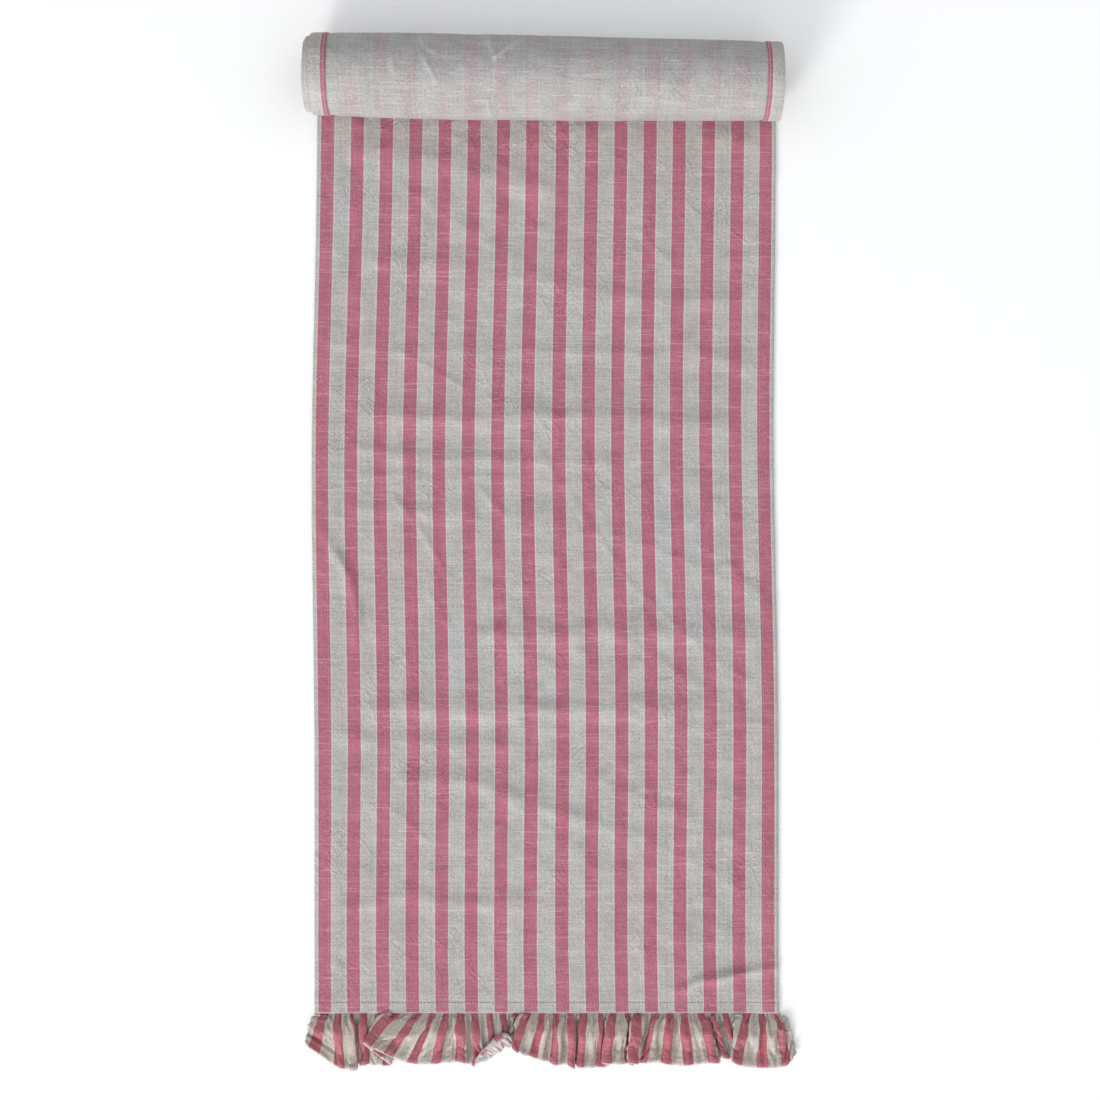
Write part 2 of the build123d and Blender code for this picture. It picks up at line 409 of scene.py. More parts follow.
def panel_row(u, s, on_back):
    """The line of a row of stitches on the panel's face or back, and the way out of the cloth there."""
    face_depth, back_depth = panel_depths(u, s)
    stand = panel_stand(u, s)
    low = panel_surface(u, s, back_depth + stand)
    high = panel_surface(u, s, face_depth + stand)
    out = unit(high - low)
    return (low, -out) if on_back else (high, out)


# ---------------------------------------------------------------- the ruffles' shape

ruffle_stripes = (-0.55, 32.55)  # where its cloth begins and ends, counted in stripes
ruffle_reach = 43 * MM  # from the seam to the free edge, along the cloth
ruffle_width = (ruffle_stripes[1] - ruffle_stripes[0]) * stripe_pitch
narrow_hem = 5 * MM
heading = 9.6 * MM  # sewn in under the panel
seam_height = 1.0 * MM  # of the ruffle's first row
seam_gap = 0.5 * MM  # between the panel's end and the first row of the ruffle
front_ruffle_start, far_ruffle_start = -0.5, -0.8  # the cloth coordinate s at each ruffle's seam
least_across = 0.97  # the share of its width that the cloth keeps where it is pushed together

# The front ruffle's folds, from left to right, in stripes along its cloth and in millimetres:
# (stripe, place at the seam, place of the free edge, the free edge's distance from the seam,
# the free edge's height, the crown's height)
folds = [
    (-0.55, -178, -185, 21, 3, 5), (-0.2, -174.5, -183, 24, 6, 9), (0, -170, -179, 26, 6, 9),
    (0.5, -166, -169, 35, 2, 4), (1, -160.5, -158.5, 41.5, 5, 8), (1.35, -155.5, -152.5, 42, 4, 6),
    (1.75, -151, -145.5, 41.5, 4, 6), (2.2, -149, -149, 38.5, 1.5, 2), (2.65, -145.5, -144.5, 39, 1, 2),
    (3, -141, -139.5, 39, 1.5, 4), (3.5, -134, -131, 39.5, 1.5, 3), (4, -128, -122.5, 40, 1.5, 2.5),
    (4.35, -126, -119, 38.5, 2.5, 3), (4.65, -125.5, -124, 35, 4.5, 4.5), (5, -124, -130, 30, 5.5, 5.5),
    (5.5, -122, -138.5, 23, 7, 7.5), (5.8, -120, -140.5, 20.5, 9, 10), (6.1, -116, -137, 22, 10.5, 12),
    (6.5, -107.5, -130, 25.5, 10, 12), (7, -98.5, -121.5, 30, 8, 12), (7.5, -93, -113, 35, 4, 9),
    (8, -87.5, -104, 38.5, 2, 5), (8.5, -82.5, -94.5, 38.5, 3, 7), (9, -77.5, -85, 37.5, 4, 9),
    (9.35, -74, -79, 37.5, 2, 4), (9.7, -70.5, -72, 36.5, 3, 6), (10, -66, -65.5, 36, 4, 8),
    (10.25, -62.5, -61.5, 37, 5, 8), (10.5, -61.5, -61, 38.5, 2, 3), (11, -56, -55, 40, 5, 8),
    (11.5, -49, -53.5, 32, 8, 8), (12, -43.5, -49.5, 26, 9, 9), (12.5, -38, -44, 20.5, 10, 8),
    (13, -33, -38, 14.5, 11, 4), (13.3, -29.5, -32.5, 12.5, 10, 2), (13.75, -25.5, -25, 20, 3.5, 1),
    (14.2, -21, -21, 24, 1.5, 2), (14.6, -17.5, -25, 22.5, 5, 7), (15, -13, -24.5, 26.5, 7.5, 10),
    (15.5, -8.5, -19.5, 30, 6, 8), (16, -3.5, -12, 33, 4, 7), (16.4, 1, -4, 35.5, 3, 6),
    (16.7, 4, 1, 37, 2, 4), (17, 8, 5.5, 38, 4, 5), (17.35, 11.5, 9.5, 38.5, 4, 7),
    (17.7, 15, 15, 39.5, 2, 6), (18, 18.5, 19, 40, 4, 8), (18.25, 21.5, 21, 40, 5, 8),
    (18.5, 23, 19.5, 40, 1.5, 2), (18.8, 25, 21.5, 40, 4, 7), (19, 28, 24.5, 40, 5, 9),
    (19.5, 36, 34, 40.5, 5, 9), (20, 42.5, 41, 40.5, 3, 7), (20.3, 44.5, 46.5, 41, 1.5, 3),
    (20.45, 46, 47, 40, 2, 3), (20.75, 47.5, 42, 37, 5, 7), (21, 52, 46, 36.5, 6, 10),
    (21.5, 57, 55.5, 37.5, 5, 8), (22, 62.5, 63, 38.5, 1.5, 4), (22.25, 65, 66, 38.5, 2, 3),
    (22.5, 66, 65, 38, 3.5, 4.5), (22.75, 67.5, 63.5, 36.5, 5.5, 8), (23, 70.5, 66, 36.5, 6, 9),
    (23.3, 75, 70.5, 36.5, 5.5, 7), (23.5, 77, 69.5, 37, 3, 4), (23.75, 79.5, 69, 37.5, 1, 2),
    (24, 83.5, 73.5, 37.5, 3.5, 6), (24.4, 88.5, 80, 36.5, 4, 6), (24.7, 90.5, 86, 36.5, 3, 5),
    (25, 95.5, 92, 37.5, 5, 8), (25.4, 100, 98.5, 39.5, 2, 4), (25.7, 102, 103.5, 39, 4, 7),
    (26, 106, 109, 38.5, 5, 9), (26.5, 112, 119, 37.5, 4, 8), (27, 119, 128.5, 36.5, 5, 8),
    (27.25, 123, 133, 36.5, 6, 7), (27.5, 124.5, 132.5, 35, 1.5, 2), (28, 127.5, 137, 33.5, 2, 6),
    (28.5, 133, 143, 33.5, 1.5, 4), (29, 137, 147.5, 35, 2, 6), (29.3, 141.5, 147, 35, 3, 5),
    (29.65, 147.5, 141, 32, 7, 10), (30, 155.5, 145, 37, 8, 11), (30.5, 161, 155.5, 40, 5, 9),
    (31, 165.5, 166, 41, 4, 6), (31.5, 171.5, 176, 41, 4, 8), (32, 176.5, 185.5, 39, 4, 5),
    (32.55, 179, 192, 30, 2, 3),
]

# Where the free edge is turned back up over the face:
# (stripe, place of the turn, the turn's distance from the seam)
turned_up = [
    (10.9, -53.5, 40.5), (11.4, -46.5, 37), (12, -40, 32),
    (12.5, -34.5, 28.5), (13, -30.5, 25.5), (13.5, -27, 23),
]


def blurred(values, width):
    """Values along the ruffle's cloth with their corners taken off."""
    reach = int(3 * width) + 1
    weights = np.exp(-0.5 * (np.arange(-reach, reach + 1) / width) ** 2)
    padded = np.pad(values, reach, mode="reflect", reflect_type="odd")
    return np.convolve(padded, weights / weights.sum(), "valid")


def ruffle_grid():
    """Places along the ruffle's cloth, in stripes, and from the seam to the free edge."""
    stripes = np.linspace(*ruffle_stripes, 512)
    reach = np.array([
        0, 1, 2, 3.2, 4.6, 6.2, 8, 10, 12, 14, 16.2, 18.4, 20.6, 22.8, 25,
        27.2, 29.4, 31.4, 33.2, 34.9, 36.6, 38, 39.6, 41.4, 43,
    ]) * MM
    return stripes, reach


def designed_ruffle(stripes, reach):
    """The ruffle laid out along its folds, before the cloth finds its own balance."""
    knots = np.array(folds)
    corner_width = 1.6  # of the blur, in points of the grid
    edge_gain, crown_gain = 1.35, 0.9  # on the heights in the list
    turn_height = 2.5 * MM
    seam_x, edge_x, edge_drop, edge_z, crown = (
        blurred(np.interp(stripes, knots[:, 0], knots[:, i]), corner_width) * MM for i in range(1, 6)
    )
    edge_z = edge_z * edge_gain
    crown = crown * crown_gain
    turn = np.array(turned_up)
    first_turned, last_turned = turn[0, 0], turn[-1, 0]
    turned = hump(stripes, first_turned, first_turned + 0.6, last_turned, last_turned + 0.35)
    share = (reach / ruffle_reach)[:, None]
    crease = 0.72 - 0.08 * turned  # the share of the reach from the seam to the lower bend
    crease_x = seam_x + (edge_x - seam_x) * crease
    crease_drop = edge_drop * crease
    crease_z = (seam_height + edge_z) / 2
    turn_x, turn_drop = (np.interp(stripes, turn[:, 0], turn[:, i]) * MM for i in (1, 2))
    crease_x += (turn_x - crease_x) * turned
    crease_drop += (turn_drop - crease_drop) * turned
    crease_z += (turn_height - crease_z) * turned
    first = np.clip(share / crease, 0, 1)
    second = np.clip((share - crease) / (1 - crease), 0, 1)
    x = seam_x + (crease_x - seam_x) * first + (edge_x - crease_x) * second
    drop = crease_drop * first + (edge_drop - crease_drop) * second
    z = seam_height + (crease_z - seam_height) * first + (edge_z - crease_z) * second
    z = z + crown * hump(share, 0, 0.2, 0.22, 0.8) * (1 - 0.35 * turned)
    return np.stack([x, front_seam - seam_gap - drop, z], -1)


def relax(points, stripes, reach, rounds):
    """Lets the cloth settle until its threads have their own lengths again.

    Each round moves the points that are too near or too far from their neighbours, bends sharp folds
    open a little, lets the cloth sink, keeps it off the table and off itself, keeps it low enough to be
    folded over onto the panel, and draws its free edge towards the place that the design gives it. The
    row at the seam stays where it is sewn.
    """
    eagerness = 1.5  # the share of each correction that one round makes
    edge_rows, first_body_row = 3, 6
    edge_pull, body_pull, height_pull, ceiling_pull = 0.03, 0.006, 0.008, 0.25
    sinking = 0.004 * MM
    goal = points.copy()
    across = (stripes[1] - stripes[0]) * stripe_pitch
    laid = np.linalg.norm(np.diff(points, axis=1), axis=-1)
    let_out = smooth(reach, 0, 12 * MM)[:, None]
    middle = (stripes[1:] + stripes[:-1]) / 2
    # At the left end and in the stretch that is turned up, the cloth may be pushed closer together
    eased = (1 - smooth(middle, 0.6, 1.4)) + hump(middle, 10.4, 11.4, 13.4, 14.4)
    least = (least_across - 0.26 * eased) * across
    rest_across = laid[:1] + (np.clip(laid, least, across) - laid[:1]) * let_out
    # Where the free edge is drawn in towards the seam, the cloth is made shorter, or it would crumple
    drawn_in = hump(stripes, 13.4, 14.2, 15.8, 16.8)
    slanting = hump(stripes, 4.2, 4.9, 6.2, 7.2)
    shorter = 1 - 0.35 * drawn_in - 0.20 * slanting
    rest_down = np.diff(reach)[:, None] * shorter
    floor = cloth / 2 + 0.1 * MM
    rows, columns = points.shape[:2]
    whole, ahead, behind = slice(None), slice(1, None), slice(None, -1)
    slanted = np.hypot(rest_across[1:], rest_down[:, 1:])
    two_down = (reach[2:] - reach[:-2])[:, None]
    # (one end of each link, its other end, its length, how stiff it is, whether it only pushes)
    links = [
        ((whole, behind), (whole, ahead), rest_across, 1.0, False),
        ((behind, whole), (ahead, whole), rest_down, 1.0, False),
        ((behind, behind), (ahead, ahead), slanted, 0.35, False),
        ((behind, ahead), (ahead, behind), slanted, 0.35, False),
        ((whole, slice(None, -2)), (whole, slice(2, None)), rest_across[:, 1:] * 1.95, 0.60, True),
        ((whole, slice(None, -4)), (whole, slice(4, None)), rest_across[:, 3:] * 3.6, 0.40, True),
        ((whole, slice(None, -7)), (whole, slice(7, None)), rest_across[:, 6:] * 5.4, 0.20, True),
        ((slice(None, -2), whole), (slice(2, None), whole), two_down * 0.97 * shorter, 0.30, True),
    ]
    for step in range(rounds):
        shift = np.zeros_like(points)
        count = np.full((rows, columns, 1), 1e-9)
        for a, b, rest, stiffness, only_pushes in links:
            d = points[b] - points[a]
            length = np.maximum(np.linalg.norm(d, axis=-1), 1e-9)
            pull = 0.5 * stiffness * (length - rest) / length
            if only_pushes:
                pull = np.minimum(pull, 0)
            move = d * pull[..., None]
            shift[a] += move
            shift[b] -= move
            count[a] += stiffness
            count[b] += stiffness
        points = points + eagerness * shift / np.maximum(count, 1)
        edge, body = points[-edge_rows:], points[first_body_row:]
        edge_goal, body_goal = goal[-edge_rows:], goal[first_body_row:]
        edge[..., :2] += edge_pull * (edge_goal[..., :2] - edge[..., :2])
        body[..., :2] += body_pull * (body_goal[..., :2] - body[..., :2])
        body[..., 2] += height_pull * (body_goal[..., 2] - body[..., 2])
        points[..., 2] -= sinking
        # The ceiling rises away from the seam, so that the folded ruffle clears the panel
        distance = front_seam - points[..., 1]
        ceiling = 2.0 * MM + np.minimum(0.42 * reach[:, None], 0.46 * distance)
        points[..., 2] -= ceiling_pull * np.maximum(points[..., 2] - ceiling, 0)
        if step % 2 == 1:
            points = part_layers(points.reshape(-1, 3), goal.reshape(-1, 3), columns)
            points = points.reshape(goal.shape)
        points[..., 2] = np.maximum(points[..., 2], floor)
        points[1:, :, 1] = np.minimum(points[1:, :, 1], front_seam - seam_gap)
        points[0] = goal[0]
    return points


def part_layers(points, goal, columns):
    """Moves layers of cloth apart where they lie nearer to each other than they should.

    Where one layer lies right over another, the one that the design puts above goes above.
    """
    apart = 1.7 * MM  # the least distance between points of two layers
    above = 1.45 * MM  # the least height of one layer over another
    beside = 1.0 * MM  # how far two points may be side by side to count as one over the other
    sure = 0.6 * MM  # the difference in the design's heights that settles which one is above
    most = 0.8 * MM  # the largest move
    neighbours = 3  # steps along the grid between points of the same layer
    eagerness = 2.4
    tree = KDTree(len(points))
    for i, point in enumerate(points):
        tree.insert(point, i)
    tree.balance()
    here = points.tolist()
    heights = goal[:, 2].tolist()
    shift = np.zeros_like(points)
    count = np.zeros(len(points))
    for i, point in enumerate(here):
        row, column = divmod(i, columns)
        for _, j, gap in tree.find_range(point, apart):
            row_j, column_j = divmod(j, columns)
            steps = abs(row_j - row) + abs(column_j - column)
            if j <= i or gap < 1e-7 or steps <= neighbours:
                continue
            dx, dy, dz = (a - b for a, b in zip(point, here[j]))
            order = heights[i] - heights[j]
            if dx * dx + dy * dy < beside * beside and abs(order) > sure:
                sign = 1 if order > 0 else -1
                if above <= dz * sign:
                    continue
                push = (0, 0, min(0.5 * (above - dz * sign), most) * sign)
            else:
                size = 0.5 * (apart - gap) / gap
                push = (dx * size, dy * size, dz * size)
            shift[i] += push
            shift[j] -= push
            count[i] += 1
            count[j] += 1
    # Neighbours follow a point that is moved
    moved = (shift / np.maximum(count, 1)[:, None]).reshape(-1, columns, 3)
    wide = np.pad(moved, ((1, 1), (1, 1), (0, 0)), mode="edge")
    around = wide[:-2, 1:-1] + wide[2:, 1:-1] + wide[1:-1, :-2] + wide[1:-1, 2:]
    moved = (2 * moved + around) / 6
    return points + eagerness * moved.reshape(-1, 3)


def finer(grid, stripes, times):
    """The same surface with more points along the cloth, through a cubic curve."""
    fine = np.linspace(stripes[0], stripes[-1], (len(stripes) - 1) * times + 1)
    step = stripes[1] - stripes[0]
    padded = np.pad(grid, ((0, 0), (1, 2), (0, 0)), mode="reflect", reflect_type="odd")
    place = (fine - stripes[0]) / step
    i = np.minimum(place.astype(int), len(stripes) - 2)
    f = (place - i)[None, :, None]
    a, b, c, d = (padded[:, i + k] for k in range(4))
    curve = b + 0.5 * f * (c - a + f * (2 * a - 5 * b + 4 * c - d + f * (3 * (b - c) + d - a)))
    return curve, fine


def ruffle_surfaces(grid, stripes, reach):
    """The ruffle's face and back with its gathers and hem, and each point's place in the cloth."""
    gather_pitch, gather_height, gather_end = 7.3 * MM, 0.85 * MM, 13 * MM
    hem_extra, edge_rounding = 0.35 * MM, 0.25 * MM
    above_table = 0.05 * MM
    grid, stripes = finer(grid, stripes, 2)
    out = -surface_normals(grid)
    flat = stripes * stripe_pitch
    waver = field(flat[None], np.zeros((1, len(flat))), 0.02, 4.4)[0]
    inside = smooth(flat - flat[0], 2 * MM, 14 * MM) * smooth(flat[-1] - flat, 2 * MM, 14 * MM)
    gathers = np.sin(2 * math.pi * flat / gather_pitch + 3.5 * waver) * (0.75 + 0.5 * waver) * inside
    fading = gather_height * (1 - smooth(reach, 1 * MM, gather_end))
    crumple = field(*np.meshgrid(flat, reach), 0.012, 6.2) * 0.1 * MM
    relief = gathers[None] * fading[:, None] + crumple * smooth(reach, 0, 8 * MM)[:, None]
    grid = grid + out * relief[..., None]
    hem_line = ruffle_reach - narrow_hem
    hem = smooth(reach, hem_line - 0.3 * MM, hem_line + 0.3 * MM)
    edge = smooth(reach, ruffle_reach - 1 * MM, ruffle_reach)
    half = (cloth / 2 + hem_extra * hem - edge_rounding * edge)[:, None, None]
    grid[..., 2] = np.maximum(grid[..., 2], half[..., 0] + above_table)
    out = -surface_normals(grid)
    face, back = grid + out * half, grid - out * half
    u, v = np.meshgrid(flat + stripe_pitch / 2, reach)
    on_hem = v > hem_line
    # On the back, the hem shows the face of the cloth that is turned over
    back_s = np.where(on_hem, front_ruffle_start - 2 * ruffle_reach + v, front_ruffle_start - v)
    face_place = in_cloth(u, front_ruffle_start - v, 0.0)
    return face, back, face_place, in_cloth(u, back_s, np.where(on_hem, 0.0, 1.0))


def make_front_ruffle():
    """The front ruffle as one strip of cloth, with the lines that its stitches follow."""
    stripes, reach = ruffle_grid()
    grid = designed_ruffle(stripes, reach)
    grid = relax(grid, stripes, reach, rounds=260)
    face, back, face_place, back_place = ruffle_surfaces(grid, stripes, reach)
    hem_row = int(np.searchsorted(reach, ruffle_reach - narrow_hem))
    sewn = slice(12, -12)  # the columns between the side edges
    hem_line = face[hem_row, sewn] * 0.5 + face[hem_row + 1, sewn] * 0.5
    hem_line[:, 2] = np.maximum(hem_line[:, 2], 0.35 * MM)
    hem_out = unit(face[hem_row, sewn] - back[hem_row, sewn])

    # The gathered raw edge lies flat under the panel, at these distances from the seam
    back_in = np.array([heading, 7 * MM, 4.5 * MM, 2.4 * MM, 1.0 * MM, 0.2 * MM])
    surfaces, places = [], []
    top, bottom = 0.55 * MM, 0.03 * MM
    for surface, place, height in ((face, face_place, top), (back, back_place, bottom)):
        rows = np.repeat(surface[:1], len(back_in), axis=0)
        rows[..., 1] = front_seam + back_in[:, None]
        rows[..., 2] = height
        surfaces.append(np.concatenate([rows, surface]))
        rows = np.repeat(place[:1], len(back_in), axis=0)
        rows[..., 1] += back_in[:, None]
        places.append(np.concatenate([rows, place]))
    piece = closed_cloth("front_ruffle_cloth", *surfaces, *places, 0.25 * MM)
    return piece, hem_line, hem_out


def make_far_ruffle():
    """The far ruffle, gathered in the roll's core, with its raw edge sewn in over the panel's back."""
    wave_pitch, wave_height = 12.5 * MM, 5.6 * MM
    sunk = 1.35 * MM  # how far the raw edge lies under the rest
    flat = np.linspace(-ruffle_width / 2, ruffle_width / 2, 661)
    reach = np.concatenate([np.array([-9.6, -7, -4.5, -2.4, -1.0]), np.linspace(0, 42, 26)]) * MM
    u, v = np.meshgrid(flat, reach)
    waver = field(u, v * 0.4, 0.03, 50.5)
    wave = 0.5 + 0.5 * np.sin(2 * math.pi * u / wave_pitch + 2.2 * waver)
    fullness = wave_height * (0.25 + 0.75 * smooth(v, 0, 9 * MM)) * smooth(v, -1 * MM, 1.5 * MM)
    middle = 0.6 * MM + fullness * wave - sunk * (1 - smooth(v, -2.4 * MM, 0.5 * MM))
    # The turns get shorter towards the core, where the waves stand
    longer = 0.35 * v * smooth(v, 0, 9 * MM)
    along = panel_length + 0.8 * MM + v + longer
    x = u / ruffle_width * 2 * (half_width - np.where(v < 0, side_hem + 1 * MM, 1.5 * MM))
    face = panel_surface(x, along, middle + cloth / 2)
    back = panel_surface(x, along, middle - cloth / 2)
    places = (in_cloth(u + stripe_pitch / 2, far_ruffle_start - v, side) for side in (0.0, 1.0))
    piece = closed_cloth("far_ruffle_cloth", face, back, *places, 0.25 * MM)
    row = int(np.searchsorted(reach, ruffle_reach - narrow_hem - 1.5 * MM))
    return piece, face[row], unit(face[row] - back[row])


# ---------------------------------------------------------------- stitches


def stitch_row(name, line, out, radius):
    """Short lengths of thread along a line, each bowed, with its two ends drawn into the cloth."""
    share = 0.84  # of the pitch that each one covers
    sides = 6
    steps = np.linalg.norm(np.diff(line, axis=0), axis=1)
    along = np.concatenate(([0], np.cumsum(steps)))
    count = int(along[-1] / stitch)
    x = np.linspace(-1, 1, 7)
    at = (np.arange(count)[:, None] + 0.5 + x * share / 2) * stitch
    centre = np.stack([np.interp(at, along, line[:, i]) for i in range(3)], -1)
    up = unit(np.stack([np.interp(at, along, out[:, i]) for i in range(3)], -1))
    side = np.cross(unit(np.gradient(centre, axis=1)), up)
    sway = np.array([random.uniform(-1, 1) for _ in range(count)])[:, None]
    centre = centre + up * (radius * (0.8 - 1.5 * x**4))[None, :, None]
    centre = centre + side * (0.35 * radius * sway * x)[..., None]
    thick = radius * (1 - 0.5 * x**4)
    turn = np.linspace(0, 2 * math.pi, sides, endpoint=False)
    ring = np.cos(turn)[:, None] * side[:, :, None] + np.sin(turn)[:, None] * up[:, :, None]
    points = centre[:, :, None] + ring * thick[None, :, None, None]
    places = np.stack(np.broadcast_arrays(at[:, :, None], turn / (2 * math.pi), 0.0), -1)
    tube = []
    for i in range(len(x) - 1):
        for j in range(sides):
            a, b = i * sides + j, i * sides + (j + 1) % sides
            tube.append((a, b, b + sides, a + sides))
    last = (len(x) - 1) * sides
    for first, flip in ((0, True), (last, False)):
        for quad in ((0, 1, 2, 3), (0, 3, 4, 5)):
            quad = [first + j for j in quad]
            tube.append(tuple(reversed(quad)) if flip else tuple(quad))
    faces = np.array(tube)[None] + (np.arange(count) * len(x) * sides)[:, None, None]
    points, faces, places = points.reshape(-1, 3), faces.reshape(-1, 4), places.reshape(-1, 3)
    return mesh_object(name, points, faces, "thread", places)


# ---------------------------------------------------------------- materials


class Nodes:
    """Short names for the shader nodes that the materials use.

    A value is a number, a colour or a socket.
    """

    def __init__(self, name):
        self.material = bpy.data.materials.new(name)
        self.material.use_nodes = True
        self.tree = self.material.node_tree
        self.shader = self.tree.nodes["Principled BSDF"]

    def put(self, socket, value):
        if isinstance(value, bpy.types.NodeSocket):
            self.tree.links.new(value, socket)
        elif value is not None:
            socket.default_value = value

    def node(self, kind, *values, **settings):
        """A node with its settings, whose first inputs get the values. None leaves an input as it is."""
        node = self.tree.nodes.new("ShaderNode" + kind)
        for setting, value in settings.items():
            setattr(node, setting, value)
        for socket, value in zip(node.inputs, values):
            self.put(socket, value)
        return node

    def math(self, operation, *values):
        return self.node("Math", *values, operation=operation).outputs[0]

    def plus(self, a, b):
        return self.math("ADD", a, b)

    def minus(self, a, b):
        return self.math("SUBTRACT", a, b)

    def times(self, a, b):
        return self.math("MULTIPLY", a, b)

    def over(self, a, b):
        return self.math("DIVIDE", a, b)

    def size(self, a):
        return self.math("ABSOLUTE", a)

    def ramp(self, value, low, high, to_low=0.0, to_high=1.0):
        """Smoothly from to_low to to_high as value goes from low to high."""
        values = (value, low, high, to_low, to_high)
        return self.node("MapRange", *values, interpolation_type="SMOOTHSTEP").outputs[0]

    def mix(self, share, a, b, blend="MIX"):
        """A colour between a and b."""
        # The sockets in between are for numbers and vectors
        values = (share, None, None, None, None, None, a, b)
        return self.node("Mix", *values, data_type="RGBA", blend_type=blend).outputs[2]

    def place(self, x, y, z=0.0):
        return self.node("CombineXYZ", x, y, z).outputs[0]

    def scaled(self, x, x_scale, y, y_scale):
        return self.place(self.times(x, x_scale), self.times(y, y_scale))

    def noise(self, at, scale=1.0, detail=2.0, roughness=0.5):
        return self.node("TexNoise", at, None, scale, detail, roughness).outputs["Fac"]

    def swing(self, at, scale=1.0, detail=2.0, roughness=0.5):
        """Noise between -0.5 and 0.5."""
        return self.minus(self.noise(at, scale, detail, roughness), 0.5)

    def random(self, value):
        return self.node("TexWhiteNoise", None, value, noise_dimensions="1D").outputs["Value"]

    def attribute(self, name, output="Vector"):
        return self.node("Attribute", attribute_name=name).outputs[output]

    def bump(self, height, distance, strength=1.0, normal=None):
        node = self.node("Bump", strength, distance)
        self.put(node.inputs["Height"], height)
        self.put(node.inputs["Normal"], normal)
        return node.outputs[0]


def srgb(r, g, b):
    """A colour given in the usual 0 to 255 numbers, as the linear colour that a shader takes."""
    def linear(v):
        """One channel of it."""
        v /= 255
        return v / 12.92 if v <= 0.04045 else ((v + 0.055) / 1.055) ** 2.4
    return (linear(r), linear(g), linear(b), 1.0)


